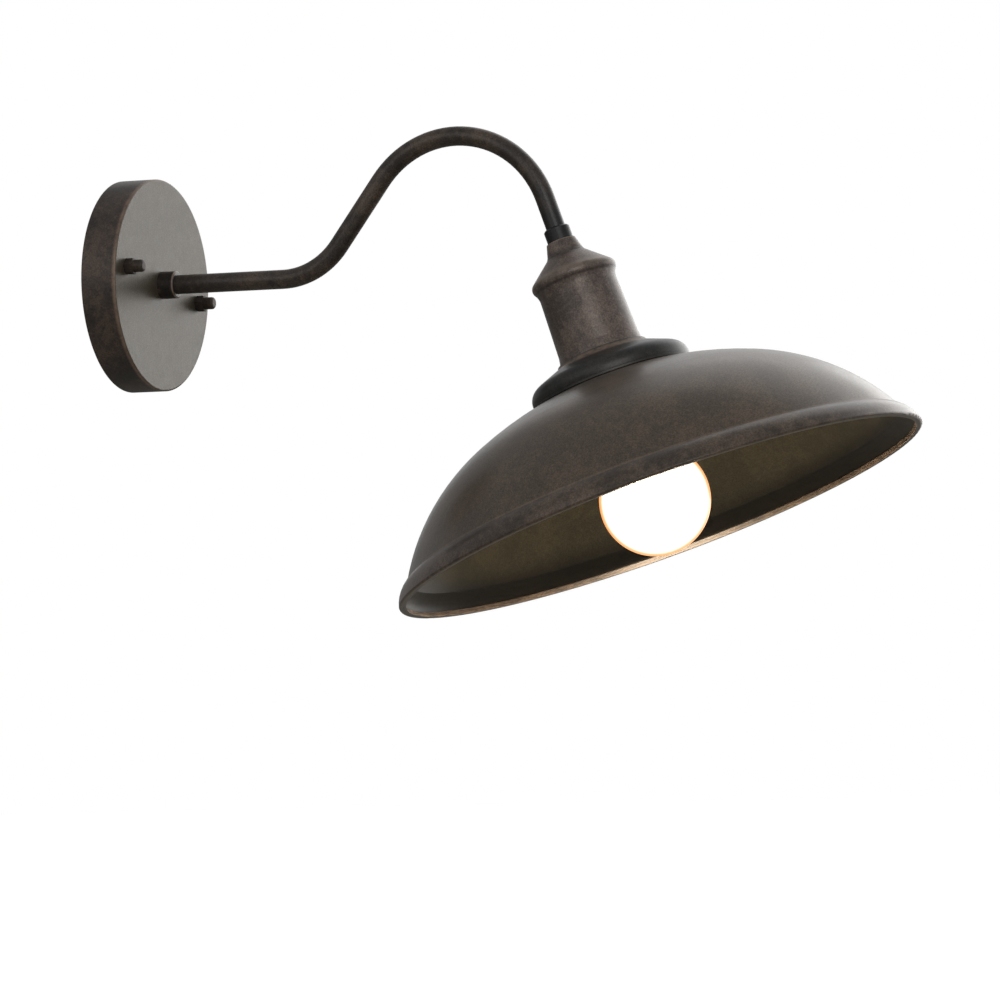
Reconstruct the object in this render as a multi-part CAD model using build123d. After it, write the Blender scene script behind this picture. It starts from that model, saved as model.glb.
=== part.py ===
from build123d import *
import os
from math import asin, cos, radians, sin, sqrt, tan

# Gooseneck wall sconce, in millimetres.
# Origin: centre of the canopy's back, on the wall. The fixture stands out along -Y, +Z is up.
# The arm lies in the plane x = 0, and the head hangs from its end along an axis tilted forward.

# ---------------------------------------------------------------- driving dimensions
# Canopy: the round cup against the wall.
canopy_diameter = 120.0
canopy_depth = 21.0
canopy_sheet = 1.2
canopy_edge_radius = 1.0

# Crossbar: a fixed strap on the outlet box, and a swivelling strap that carries the studs.
strap_thickness = 1.7
wall_strap_length = 104.0
wall_strap_width = 18.0
wall_strap_corner = 4.0
box_screw_spacing = 79.4
box_slot_length = 14.6
box_slot_width = 5.0
swivel_strap_width = 16.0
swivel_strap_overhang = 6.0
swivel_strap_offset = 3.2
swivel_flat_half = 15.0
eyelet_radius = 5.2
eyelet_bore = 4.2
eyelet_flare = 1.1
eyelet_flange_radius = 7.0
eyelet_flange = 0.9
ground_screw_radius = 2.0
ground_head_radius = 4.0
ground_head_height = 2.3
ground_head_crown = 0.8
ground_screw_drop = 24.0
ground_screw_side = -4.5
ground_screw_reach = 5.0
ground_slot_width = 1.1
ground_slot_depth = 1.0

# Studs, their lock nuts and the cap nuts that hold the canopy.
stud_spacing = 91.4
stud_angle = 10.0
stud_radius = 2.1
stud_head_radius = 3.5
stud_head_height = 2.4
stud_point = 0.7
stud_tip_gap = 1.0
stud_nut_flats = 7.0
stud_nut_height = 2.4
cap_nut_flats = 8.2
cap_nut_hex = 4.8
cap_nut_knob_radius = 3.5
cap_nut_knob_length = 5.9
cap_nut_crown = 1.6
cap_nut_thread_depth = 9.0

# Arm: a bent tube with a collar at each end.
arm_tube_radius = 5.4
arm_tube_wall = 1.2
arm_run = 75.0
low_bend_radius = 43.8
low_bend_angle = 53.0
riser_length = 43.3
top_bend_radius = 56.6
head_tilt = 20.0
drop_length = 17.9
base_collar_radius = 7.75
base_collar_length = 9.6
base_collar_chamfer = 0.9
arm_collar_radius = 7.3
arm_collar_length = 7.9
arm_collar_chamfer = 0.8
collar_socket_depth = 6.0

# Hollow threaded nipples and their nuts.
nipple_radius = 4.9
nipple_bore = 3.7
nipple_end_gap = 0.4
locknut_flats = 14.0
locknut_height = 3.0
nut_chamfer_angle = 30.0
washer_radius = 8.4
washer_thickness = 1.0
washer_teeth = 12
washer_tooth_depth = 1.3
root_nipple_tail = 2.4

# Leads and their connectors.
lead_radius = 1.0
lead_offset = 1.35
lead_tail_radius = 4.8
lead_tail_run = 9.0
lead_splay_radius = 7.0
lead_splay_angle = 40.0
lead_splay_run = 4.0
connector_mouth_radius = 4.2
connector_tip_radius = 3.0
connector_length = 17.0
connector_wall = 1.4
connector_grip = 3.0
connector_edge = 1.0
connector_ribs = 10
connector_groove_radius = 0.5

# Socket cup: neck, sloping shoulder, bead and body in one spun piece.
cup_wall = 1.4
neck_top_radius = 8.3
neck_foot_radius = 10.2
neck_length = 6.8
shoulder_start_radius = 11.2
shoulder_start_drop = 8.5
shoulder_end_radius = 22.9
shoulder_end_drop = 18.7
bead_radius = 24.2
bead_drop = 21.3
crease_radius = 23.4
crease_drop = 23.8
body_top_radius = 22.0
body_top_drop = 28.8
body_foot_radius = 23.0
body_foot_drop = 61.4
cup_mouth_radius = 23.8
cup_height = 66.7
cup_roof = 1.3

# Fitter flange: the stepped ring between the cup and the shade.
flange_sheet = 1.3
flange_land_radius = 25.4
flange_step_radius = 26.3
flange_step_drop = 1.6
flange_corner_radius = 40.4
flange_corner_drop = 7.6
flange_radius = 45.0
flange_height = 18.6
flange_hem_width = 0.7
flange_hem_height = 1.5

# Shade: a spun dome with a flat seat, two tangent arcs and a curled rim.
shade_sheet = 1.2
shade_height = 80.8
shade_seat_radius = 29.0
shade_crown_radius = 211.0
shade_crown_edge = 86.0
shade_shoulder_radius = 120.0
rim_junction_radius = 142.5
rim_radius = 151.0
rim_bulge = 1.5
rim_corner_radius = 1.3
rim_lip_width = 3.8
rim_hem_height = 2.6

# Lamp socket.
socket_hang = 23.0
socket_cap_height = 24.0
socket_cap_radius = 19.0
socket_cap_wall = 2.0
socket_hub_radius = 8.5
socket_hub_length = 9.0
socket_cap_shoulder = 8.0
socket_body_length = 42.0
socket_skirt_radius = 19.2
screw_shell_bore = 13.2
screw_shell_wall = 0.5
screw_shell_inset = 2.0
contact_space = 3.0
tongue_width = 5.0
tongue_thickness = 0.5
tongue_length = 16.0
terminal_width = 6.0
terminal_length = 12.0
terminal_thickness = 0.8
terminal_corner = 1.0
terminal_hole_depth = 7.0
terminal_head_radius = 2.7
terminal_head_height = 1.8
terminal_shank_radius = 1.5
terminal_shank_length = 6.0
terminal_slot_width = 0.8
terminal_slot_depth = 0.8
shade_ring_radius = 27.0
shade_ring_height = 7.0
shade_ring_grips = 16
shade_ring_grip_radius = 1.4
shade_ring_grip_height = 4.6

# Bulb with an Edison E26 base and an A19 envelope.
bulb_seat_depth = 24.2
bulb_length = 110.0
bulb_radius = 30.5
bulb_glass = 0.8
bulb_neck_radius = 12.4
base_shell_radius = 12.9
base_shell_length = 24.0
base_shell_wall = 0.45
base_glass_grip = 8.0
base_crimp_height = 6.2
base_crimp_start = 3.4
base_crimp_radius = 9.0
insulator_radius = 8.5
bulb_contact_radius = 4.8
bulb_contact_height = 1.4
stem_radius = 2.4
stem_flare_radius = 11.2
stem_flare_height = 3.0
stem_flare_edge = 1.0
stem_reach = 62.0
filament_wire = 0.35
filament_width = 18.0
filament_drop = 12.0
filament_bend = 1.0

# Clearances.
fixed_gap = 0.03
running_gap = 0.08
hole_gap = 0.4
bearing_gap = 0.05

# ---------------------------------------------------------------- derived frame of the arm
arm_plane = Plane(origin=(0, 0, 0), x_dir=(0, -1, 0), z_dir=(-1, 0, 0))
tube_seat = canopy_depth + base_collar_length - collar_socket_depth


def arm_curve(start, extra):
    """Centreline of the arm in its plane, from a distance off the wall to past the drop."""
    run = Line((start, 0), (canopy_depth + arm_run, 0))
    low_bend = JernArc(run @ 1, run % 1, low_bend_radius, low_bend_angle)
    riser = Line(low_bend @ 1, low_bend @ 1 + riser_length * (low_bend % 1))
    turn = low_bend_angle + 90 - head_tilt
    top_bend = JernArc(riser @ 1, riser % 1, top_bend_radius, -turn)
    drop = Line(top_bend @ 1, top_bend @ 1 + (drop_length + extra) * (top_bend % 1))
    return arm_plane * Wire([run, low_bend, riser, top_bend, drop])


arm_end = arm_curve(tube_seat, 0) @ 1
tilt = radians(head_tilt)
head = Plane(origin=arm_end, x_dir=(1, 0, 0), z_dir=(0, sin(tilt), cos(tilt)))
wall_side = Plane(origin=(0, 0, 0), x_dir=(1, 0, 0), z_dir=(0, -1, 0))
stud_slant = radians(stud_angle)
stud_side = Plane(origin=(0, 0, 0), x_dir=(cos(stud_slant), 0, -sin(stud_slant)), z_dir=(0, -1, 0))

# Heights along the head axis, measured from the arm's end, negative downward.
cup_top = -arm_collar_length
cup_bottom = cup_top - cup_height
flange_bottom = cup_bottom - flange_height


def crown_height(radius):
    """Height of the dome's crown above its seat, negative outside the seat."""
    at_seat = sqrt(shade_crown_radius**2 - shade_seat_radius**2)
    return sqrt(shade_crown_radius**2 - radius**2) - at_seat


shade_seat = flange_bottom - crown_height(flange_radius - flange_sheet)
rim_plane = shade_seat - shade_height
socket_cap_top = cup_top - shoulder_start_drop - socket_hang
socket_body_top = socket_cap_top - socket_cap_height
socket_mouth = socket_body_top - socket_body_length
cavity_top = socket_mouth + bulb_seat_depth + contact_space
bulb_tip = socket_mouth + bulb_seat_depth


# ---------------------------------------------------------------- shared forms
def spun(outline, plane=head):
    """Turns a closed outline of (radius, height) about the plane's own axis."""
    return plane * revolve(Plane.XZ * make_face(outline), Axis.Z)


def ring(outer, inner, bottom, top, plane=head):
    """A plain turned ring or tube between two heights."""
    corners = [(inner, bottom), (outer, bottom), (outer, top), (inner, top)]
    return spun(Polyline(*corners, close=True), plane)


def hex_nut(flats, bore, bottom, top, plane):
    """A hexagonal nut with both faces chamfered."""
    corner = flats / sqrt(3)
    chamfer_width = corner - flats / 2
    hexagon = RegularPolygon(flats / 2, 6, major_radius=False)
    blank = Pos(0, 0, bottom) * extrude(hexagon, top - bottom)
    rise = chamfer_width * tan(radians(nut_chamfer_angle))
    corners = [
        (bore, bottom),
        (flats / 2, bottom),
        (corner, bottom + rise),
        (corner, top - rise),
        (flats / 2, top),
        (bore, top),
    ]
    envelope = revolve(Plane.XZ * make_face(Polyline(*corners, close=True)), Axis.Z)
    return plane * (blank & envelope)


def save(name, shape):
    """Writes one sub-part, named after the piece it is."""
    os.makedirs("parts", exist_ok=True)
    shape.label = name
    export_step(shape, f"parts/{name}.step")


# ---------------------------------------------------------------- crossbar behind the canopy
swivel_back = strap_thickness + bearing_gap
stud_seat = swivel_back + swivel_strap_offset
eyelet_flare_radius = eyelet_radius + eyelet_flare
eyelet_front = swivel_back + strap_thickness + bearing_gap


def build_wall_strap():
    """Flat bar on the outlet box, with two screw slots and a countersunk hole for the eyelet."""
    blank = RectangleRounded(wall_strap_width, wall_strap_length, wall_strap_corner)
    bar = wall_side * extrude(blank, strap_thickness)
    upright_slot = Rot(0, 0, 90) * SlotOverall(box_slot_length, box_slot_width)
    for side in (-1, 1):
        slot = Pos(0, side * box_screw_spacing / 2) * upright_slot
        bar -= wall_side * extrude(slot, strap_thickness)
    corners = [
        (0, 0),
        (eyelet_flare_radius + fixed_gap, 0),
        (eyelet_radius + fixed_gap, eyelet_flare),
        (eyelet_radius + fixed_gap, strap_thickness),
        (0, strap_thickness),
    ]
    bar -= spun(Polyline(*corners, close=True), wall_side)
    tapped = Pos(ground_screw_side, -ground_screw_drop) * Circle(ground_screw_radius + fixed_gap)
    return bar - wall_side * extrude(tapped, strap_thickness)


def build_ground_screw():
    """Pan-head earthing screw, tapped into the wall strap, with one straight slot."""
    place = wall_side * Pos(ground_screw_side, -ground_screw_drop)
    head_top = strap_thickness + ground_head_height
    corners = [
        (0, strap_thickness - ground_screw_reach),
        (ground_screw_radius, strap_thickness - ground_screw_reach),
        (ground_screw_radius, strap_thickness),
        (ground_head_radius, strap_thickness),
        (ground_head_radius, head_top - ground_head_crown),
        (ground_head_radius - ground_head_crown, head_top),
        (0, head_top),
    ]
    screw = spun(Polyline(*corners, close=True), Plane.XY)
    slot = Rectangle(2 * ground_head_radius, ground_slot_width)
    screw -= Pos(0, 0, head_top - ground_slot_depth) * extrude(slot, ground_slot_depth)
    return place * screw


def build_pivot_eyelet():
    """Hollow rivet that holds both straps and lets the front one turn."""
    corners = [
        (eyelet_bore, 0),
        (eyelet_flare_radius, 0),
        (eyelet_radius, eyelet_flare),
        (eyelet_radius, eyelet_front),
        (eyelet_flange_radius, eyelet_front),
        (eyelet_flange_radius, eyelet_front + eyelet_flange),
        (eyelet_bore, eyelet_front + eyelet_flange),
    ]
    return spun(Polyline(*corners, close=True), wall_side)


def at_studs(piece):
    """Two copies of a piece, one at each stud."""
    places = [Pos(side * stud_spacing / 2, 0, 0) for side in (-1, 1)]
    return Compound([stud_side * place * piece for place in places])


def build_swivel_strap():
    """Front strap, joggled forward at both ends to clear the stud heads."""
    reach = stud_spacing / 2 + swivel_strap_overhang
    bend = swivel_flat_half + swivel_strap_offset
    back = [
        (-reach, stud_seat),
        (-bend, stud_seat),
        (-swivel_flat_half, swivel_back),
        (swivel_flat_half, swivel_back),
        (bend, stud_seat),
        (reach, stud_seat),
    ]
    front = [(x, height + strap_thickness) for x, height in reversed(back)]
    profile = Plane.XZ * make_face(Polyline(*back, *front, close=True))
    bar = extrude(profile, swivel_strap_width / 2, both=True)
    depth = stud_seat + strap_thickness
    bar &= extrude(SlotOverall(2 * reach, swivel_strap_width), depth)
    bar -= extrude(Circle(eyelet_radius + running_gap), depth)
    for side in (-1, 1):
        bar -= Pos(side * stud_spacing / 2, 0) * extrude(Circle(stud_radius + fixed_gap), depth)
    return stud_side * bar


def build_canopy_studs():
    """Machine screws that stand out from the swivel strap through the canopy."""
    tip = canopy_depth + cap_nut_thread_depth - stud_tip_gap
    corners = [
        (0, stud_seat - stud_head_height),
        (stud_head_radius, stud_seat - stud_head_height),
        (stud_head_radius, stud_seat),
        (stud_radius, stud_seat),
        (stud_radius, tip - stud_point),
        (stud_radius - stud_point, tip),
        (0, tip),
    ]
    return at_studs(spun(Polyline(*corners, close=True), Plane.XY))


def build_stud_nuts():
    """Hex nuts that lock the studs to the swivel strap."""
    bottom = stud_seat + strap_thickness
    top = bottom + stud_nut_height
    return at_studs(hex_nut(stud_nut_flats, stud_radius + fixed_gap, bottom, top, Plane.XY))


# ---------------------------------------------------------------- canopy
canopy_floor = canopy_depth - canopy_sheet


def build_canopy():
    """Spun cup with a small rolled front edge, open at the wall."""
    radius = canopy_diameter / 2
    hole = nipple_radius + hole_gap
    outer_corners = [(radius, 0), (radius, canopy_depth), (hole, canopy_depth)]
    inner_corners = [
        (hole, canopy_depth),
        (hole, canopy_floor),
        (radius - canopy_sheet, canopy_floor),
        (radius - canopy_sheet, 0),
        (radius, 0),
    ]
    outside = FilletPolyline(*outer_corners, radius=canopy_edge_radius)
    cup = spun([outside, Polyline(*inner_corners)], wall_side)
    stud_hole = extrude(Circle(stud_radius + hole_gap), canopy_depth)
    for side in (-1, 1):
        cup -= stud_side * Pos(side * stud_spacing / 2, 0) * stud_hole
    return cup


def build_cap_nuts():
    """Closed cap nuts: a hexagon with a round knob in front."""
    bore = stud_radius + fixed_gap
    front = canopy_depth + cap_nut_hex
    nut = hex_nut(cap_nut_flats, bore, canopy_depth, front, Plane.XY)
    bore_end = canopy_depth + cap_nut_thread_depth
    knob_root = front - cap_nut_hex / 2
    tip = front + cap_nut_knob_length
    crown_start = (cap_nut_knob_radius, tip - cap_nut_crown)
    root_corners = [(0, bore_end), (bore, bore_end), (bore, knob_root), (cap_nut_knob_radius, knob_root)]
    side = Polyline(*root_corners, crown_start)
    crown = JernArc(crown_start, (0, 1), cap_nut_crown, 90)
    end = Polyline(crown @ 1, (0, tip), (0, bore_end))
    return at_studs(nut + spun([side, crown, end], Plane.XY))


# ---------------------------------------------------------------- arm
root_washer_back = canopy_floor - washer_thickness
root_nut_back = root_washer_back - locknut_height
cup_ceiling = cup_top - shoulder_start_drop - cup_roof
neck_nipple_bottom = socket_cap_top - socket_hub_length


def build_base_collar():
    """Collar that joins the arm's root to its nipple, seated on the canopy."""
    top = canopy_depth + base_collar_length
    corners = [
        (nipple_radius + fixed_gap, canopy_depth),
        (base_collar_radius, canopy_depth),
        (base_collar_radius, top - base_collar_chamfer),
        (base_collar_radius - base_collar_chamfer, top),
        (arm_tube_radius + fixed_gap, top),
        (arm_tube_radius + fixed_gap, tube_seat),
        (nipple_radius + fixed_gap, tube_seat),
    ]
    return spun(Polyline(*corners, close=True), wall_side)


def build_root_washer():
    """Lock washer with inward teeth, between the canopy and its nut."""
    washer = extrude(Circle(washer_radius) - Circle(nipple_radius + fixed_gap), washer_thickness)
    notch = Pos(nipple_radius + washer_tooth_depth, 0)
    notch *= extrude(Rectangle(2 * washer_tooth_depth, washer_tooth_depth), washer_thickness)
    for tooth in range(washer_teeth):
        washer -= Rot(0, 0, tooth * 360 / washer_teeth) * notch
    return wall_side * Pos(0, 0, root_washer_back) * washer


def build_arm_tube():
    """Bent tube: a run off the wall, a rise, the high turn and the drop to the head."""
    path = arm_curve(tube_seat, collar_socket_depth)
    section = Circle(arm_tube_radius) - Circle(arm_tube_radius - arm_tube_wall)
    return sweep(Plane(origin=path @ 0, z_dir=path % 0) * section, path)


def build_arm_collar():
    """Collar at the arm's lower end, threaded inside for the neck nipple."""
    corners = [
        (nipple_radius + fixed_gap, cup_top),
        (arm_collar_radius, cup_top),
        (arm_collar_radius, -arm_collar_chamfer),
        (arm_collar_radius - arm_collar_chamfer, 0),
        (arm_tube_radius + fixed_gap, 0),
        (arm_tube_radius + fixed_gap, -collar_socket_depth),
        (nipple_radius + fixed_gap, -collar_socket_depth),
    ]
    return spun(Polyline(*corners, close=True))


def build_root_nipple():
    """Hollow threaded tube that ties the arm's root to the canopy."""
    bottom = root_nut_back - root_nipple_tail
    return ring(nipple_radius, nipple_bore, bottom, tube_seat - nipple_end_gap, wall_side)


def build_root_locknut():
    """Hex nut behind the canopy."""
    bore = nipple_radius + fixed_gap
    return hex_nut(locknut_flats, bore, root_nut_back, root_washer_back, wall_side)


def build_neck_nipple():
    """Hollow threaded tube from the arm's collar down to the socket's cap."""
    top = -collar_socket_depth - nipple_end_gap
    return ring(nipple_radius, nipple_bore, neck_nipple_bottom, top)


def build_neck_locknut():
    """Hex nut that holds the cup up against the arm's collar."""
    bore = nipple_radius + fixed_gap
    return hex_nut(locknut_flats, bore, cup_ceiling - locknut_height, cup_ceiling, head)


# ---------------------------------------------------------------- leads inside the arm
lead_height = strap_thickness + ground_head_height + connector_mouth_radius + hole_gap
tail_length = lead_tail_radius + lead_tail_run
down = (0, -sin(tilt), -cos(tilt))
splay_shift = 2 * lead_splay_radius * (1 - cos(radians(lead_splay_angle)))
splay_shift += lead_splay_run * sin(radians(lead_splay_angle))
splay_drop = 2 * lead_splay_radius * sin(radians(lead_splay_angle))
splay_drop += lead_splay_run * cos(radians(lead_splay_angle))
terminal_top = socket_body_top + terminal_thickness


def build_lead(side):
    """One insulated lead, from its connector through the arm to its socket terminal."""
    tail = Line((lead_height, side * tail_length), (lead_height, side * lead_tail_radius))
    turn = JernArc(tail @ 1, tail % 1, lead_tail_radius, side * 90)
    entry = arm_plane * Wire([tail, turn])
    through = arm_curve(lead_height + lead_tail_radius, -neck_nipple_bottom)
    splay_plane = Plane(
        origin=through @ 1,
        x_dir=down,
        z_dir=Vector(*down).cross(Vector(side, 0, 0)),
    )
    out = JernArc((0, 0), (1, 0), lead_splay_radius, lead_splay_angle)
    slant = Line(out @ 1, out @ 1 + lead_splay_run * (out % 1))
    back = JernArc(slant @ 1, slant % 1, lead_splay_radius, -lead_splay_angle)
    landing = neck_nipple_bottom - splay_drop - terminal_top
    last = Line(back @ 1, back @ 1 + landing * (back % 1))
    exit_run = splay_plane * Wire([out, slant, back, last])
    route = Wire([*entry.edges(), *through.edges(), *exit_run.edges()])
    path = Pos(side * lead_offset, 0, 0) * route
    return sweep(Plane(origin=path @ 0, z_dir=path % 0) * Circle(lead_radius), path)


def build_wire_connectors():
    """Twist-on connectors, ribbed for the fingers, one on each lead's tail."""
    outline = [
        (0, connector_grip),
        (lead_radius + fixed_gap, connector_grip),
        (lead_radius + fixed_gap, connector_grip - connector_edge),
        (connector_mouth_radius - connector_wall, 0),
        (connector_mouth_radius, 0),
        (connector_mouth_radius, connector_length / 3),
        (connector_tip_radius, connector_length - connector_edge),
        (connector_tip_radius - connector_edge, connector_length),
        (0, connector_length),
    ]
    body = spun(Polyline(*outline, close=True), Plane.XY)
    groove = Pos(connector_mouth_radius, 0, 0)
    groove *= extrude(Circle(connector_groove_radius), connector_length)
    for rib in range(connector_ribs):
        body -= Rot(0, 0, rib * 360 / connector_ribs) * groove
    connectors = []
    for side in (-1, 1):
        mouth = (side * lead_offset, -lead_height, side * (tail_length - connector_grip))
        connectors.append(Plane(origin=mouth, x_dir=(1, 0, 0), z_dir=(0, 0, side)) * body)
    return Compound(connectors)


# ---------------------------------------------------------------- socket cup and fitter flange
def build_socket_cup():
    """Neck, sloping shoulder, rolled bead and body, open at the bottom over the flange."""
    bore = nipple_radius + fixed_gap
    shoulder_end = (shoulder_end_radius, cup_top - shoulder_end_drop)
    crease = (crease_radius, cup_top - crease_drop)
    body_top = (body_top_radius, cup_top - body_top_drop)
    body_foot = (body_foot_radius, cup_top - body_foot_drop)
    outside = [
        Polyline(
            (bore, cup_ceiling),
            (bore, cup_top),
            (neck_top_radius, cup_top),
            (neck_foot_radius, cup_top - neck_length),
            (shoulder_start_radius, cup_top - shoulder_start_drop),
            shoulder_end,
        ),
        ThreePointArc(shoulder_end, (bead_radius, cup_top - bead_drop), crease),
        TangentArc(body_top, crease, tangent=(0, 1)),
        Polyline(body_top, body_foot, (cup_mouth_radius, cup_bottom)),
    ]
    inside = Polyline(
        (cup_mouth_radius, cup_bottom),
        (cup_mouth_radius - cup_wall, cup_bottom),
        (body_foot_radius - cup_wall, cup_top - body_foot_drop),
        (body_top_radius - cup_wall, cup_top - body_top_drop),
        (body_top_radius - cup_wall, cup_top - shoulder_end_drop - cup_roof),
        (shoulder_start_radius, cup_ceiling),
        (bore, cup_ceiling),
    )
    return spun([*outside, inside])


def build_fitter_flange():
    """Stepped ring: a land for the cup, a slope, a rounded shoulder and a hemmed foot on the shade."""
    hole = socket_skirt_radius + hole_gap
    step = (flange_step_radius, cup_bottom - flange_step_drop)
    corner = (flange_corner_radius, cup_bottom - flange_corner_drop)
    hem_top = flange_bottom + flange_hem_height
    slope = Vector(corner[0] - step[0], corner[1] - step[1])
    outside = [
        Polyline((hole, cup_bottom), (flange_land_radius, cup_bottom), step, corner),
        TangentArc(corner, (flange_radius, hem_top), tangent=(slope.X, slope.Y)),
        Polyline(
            (flange_radius, hem_top),
            (flange_radius + flange_hem_width, hem_top - flange_hem_width / 2),
            (flange_radius + flange_hem_width, flange_bottom),
            (flange_radius - flange_sheet, flange_bottom),
        ),
    ]
    inner_corner = (corner[0] - flange_sheet / 2, corner[1] - flange_sheet)
    inner_foot = (flange_radius - flange_sheet, flange_bottom)
    inside = [
        TangentArc(inner_corner, inner_foot, tangent=(slope.X, slope.Y)),
        Polyline(
            inner_corner,
            (step[0] - flange_sheet, step[1] - flange_sheet),
            (flange_land_radius - flange_sheet, cup_bottom - flange_sheet),
            (hole, cup_bottom - flange_sheet),
            (hole, cup_bottom),
        ),
    ]
    return spun([*outside, *inside])


# ---------------------------------------------------------------- shade
crown_centre = Vector(0, shade_seat - sqrt(shade_crown_radius**2 - shade_seat_radius**2))
seat_angle = asin(shade_seat_radius / shade_crown_radius)
edge_angle = asin(shade_crown_edge / shade_crown_radius)
towards_edge = Vector(sin(edge_angle), cos(edge_angle))
shoulder_centre = crown_centre + (shade_crown_radius - shade_shoulder_radius) * towards_edge
junction_angle = asin((rim_junction_radius - shoulder_centre.X) / shade_shoulder_radius)


def around(centre, radius, angle):
    """A point on a circle, at an angle from the head's axis."""
    return centre + radius * Vector(sin(angle), cos(angle))


def dome_chain(inset):
    """Seat, crown and shoulder of the dome, for the sheet's outside or its inside."""
    seat_height = shade_seat - inset
    crown = shade_crown_radius - inset
    shoulder = shade_shoulder_radius - inset
    seat_edge = Vector(sqrt(crown**2 - (seat_height - crown_centre.Y) ** 2), seat_height)
    crown_middle = around(crown_centre, crown, (seat_angle + edge_angle) / 2)
    crown_edge = around(crown_centre, crown, edge_angle)
    shoulder_middle = around(shoulder_centre, shoulder, (edge_angle + junction_angle) / 2)
    junction = around(shoulder_centre, shoulder, junction_angle)
    return [
        Line((socket_skirt_radius + hole_gap, seat_height), seat_edge),
        ThreePointArc(seat_edge, crown_middle, crown_edge),
        ThreePointArc(crown_edge, shoulder_middle, junction),
    ]


def bulged(start, end, bulge):
    """An arc between two points that swells outward from their chord."""
    chord = end - start
    outward = Vector(-chord.Y, chord.X).normalized()
    return ThreePointArc(start, (start + end) / 2 + bulge * outward, end)


def build_shade():
    """Spun dome with a hole for the socket and a flared rim curled back into a hem."""
    outer = dome_chain(0)
    inner = dome_chain(shade_sheet)
    widest = Vector(rim_radius, rim_plane + rim_corner_radius)
    foot = Vector(rim_radius - rim_corner_radius, rim_plane)
    lip = rim_radius - rim_lip_width
    hem_top = Vector(lip, rim_plane + rim_hem_height)
    hem_back = Vector(rim_radius - 2 * shade_sheet, rim_plane + rim_hem_height + shade_sheet / 2)
    rim = [
        bulged(outer[-1] @ 1, widest, rim_bulge),
        RadiusArc(widest, foot, rim_corner_radius),
        Polyline(foot, (lip, rim_plane), hem_top, hem_back),
        bulged(inner[-1] @ 1, hem_back, rim_bulge / 2),
    ]
    hole_wall = Line(outer[0] @ 0, inner[0] @ 0)
    return spun([*outer, *rim, *inner, hole_wall])


def build_shade_ring():
    """Ring on the socket's skirt that clamps the shade to the flange, with finger grips."""
    top = shade_seat - shade_sheet
    bottom = top - shade_ring_height
    body = ring(shade_ring_radius, socket_skirt_radius + fixed_gap, bottom, top, Plane.XY)
    grip = Pos(shade_ring_radius, 0, bottom)
    grip *= extrude(Circle(shade_ring_grip_radius), shade_ring_grip_height)
    for turn in range(shade_ring_grips):
        body -= Rot(0, 0, turn * 360 / shade_ring_grips) * grip
    return head * body


# ---------------------------------------------------------------- lamp socket
terminal_reach = lead_offset + splay_shift
terminal_screw_side = terminal_length / 2


def build_socket_cap():
    """Domed cap on the neck nipple, hollow for the splayed leads."""
    bore = nipple_radius + fixed_gap
    shoulder = socket_cap_top - socket_cap_shoulder
    inner_radius = socket_cap_radius - socket_cap_wall
    hub_wall = socket_hub_radius - socket_cap_wall / 2
    corners = [
        (bore, socket_cap_top),
        (socket_hub_radius, socket_cap_top),
        (socket_cap_radius, shoulder),
        (socket_cap_radius, socket_body_top),
        (inner_radius, socket_body_top),
        (inner_radius, shoulder - socket_cap_wall / 2),
        (hub_wall, socket_cap_top - 2 * socket_cap_wall),
        (hub_wall, neck_nipple_bottom),
        (bore, neck_nipple_bottom),
    ]
    return spun(Polyline(*corners, close=True))


def build_socket_body():
    """Insulating body: a block under the cap and a threaded skirt round the screw shell."""
    skirt_bore = screw_shell_bore + screw_shell_wall + fixed_gap
    mouth_bore = skirt_bore + screw_shell_inset / 2
    corners = [
        (0, socket_body_top),
        (socket_skirt_radius, socket_body_top),
        (socket_skirt_radius, socket_mouth),
        (mouth_bore, socket_mouth),
        (skirt_bore, socket_mouth + screw_shell_inset / 2),
        (skirt_bore, cavity_top),
        (0, cavity_top),
    ]
    body = spun(Polyline(*corners, close=True), Plane.XY)
    hole = extrude(Circle(terminal_shank_radius + fixed_gap), terminal_hole_depth)
    for side in (-1, 1):
        place = Pos(side * terminal_reach, side * terminal_screw_side)
        body -= place * Pos(0, 0, socket_body_top - terminal_hole_depth) * hole
    return head * body


def build_terminal_plates():
    """Two brass plates on the block: a lead lands on one end, the screw holds the other."""
    strip = RectangleRounded(terminal_width, terminal_length, terminal_corner)
    strip = Pos(0, terminal_screw_side / 2) * strip
    strip -= Pos(0, terminal_screw_side) * Circle(terminal_shank_radius + fixed_gap)
    plate = Pos(terminal_reach, 0, socket_body_top) * extrude(strip, terminal_thickness)
    return Compound([head * Rot(0, 0, turn) * plate for turn in (0, 180)])


def build_terminal_screws():
    """Slotted brass screws that clamp the terminal plates."""
    head_top = terminal_top + terminal_head_height
    corners = [
        (0, socket_body_top - terminal_shank_length),
        (terminal_shank_radius, socket_body_top - terminal_shank_length),
        (terminal_shank_radius, terminal_top),
        (terminal_head_radius, terminal_top),
        (terminal_head_radius, head_top),
        (0, head_top),
    ]
    screw = spun(Polyline(*corners, close=True), Plane.XY)
    slot = Rectangle(2 * terminal_head_radius, terminal_slot_width)
    screw -= Pos(0, 0, head_top - terminal_slot_depth) * extrude(slot, terminal_slot_depth)
    place = Pos(terminal_reach, terminal_screw_side, 0)
    return Compound([head * Rot(0, 0, turn) * place * screw for turn in (0, 180)])


def build_screw_shell():
    """Metal cup in the socket that the bulb's base turns in, open in the middle of its roof."""
    outer = screw_shell_bore + screw_shell_wall
    opening = tongue_length / 2 + hole_gap
    corners = [
        (screw_shell_bore, socket_mouth + screw_shell_inset),
        (outer, socket_mouth + screw_shell_inset),
        (outer, cavity_top),
        (opening, cavity_top),
        (opening, cavity_top - screw_shell_wall),
        (screw_shell_bore, cavity_top - screw_shell_wall),
    ]
    return spun(Polyline(*corners, close=True))


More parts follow.
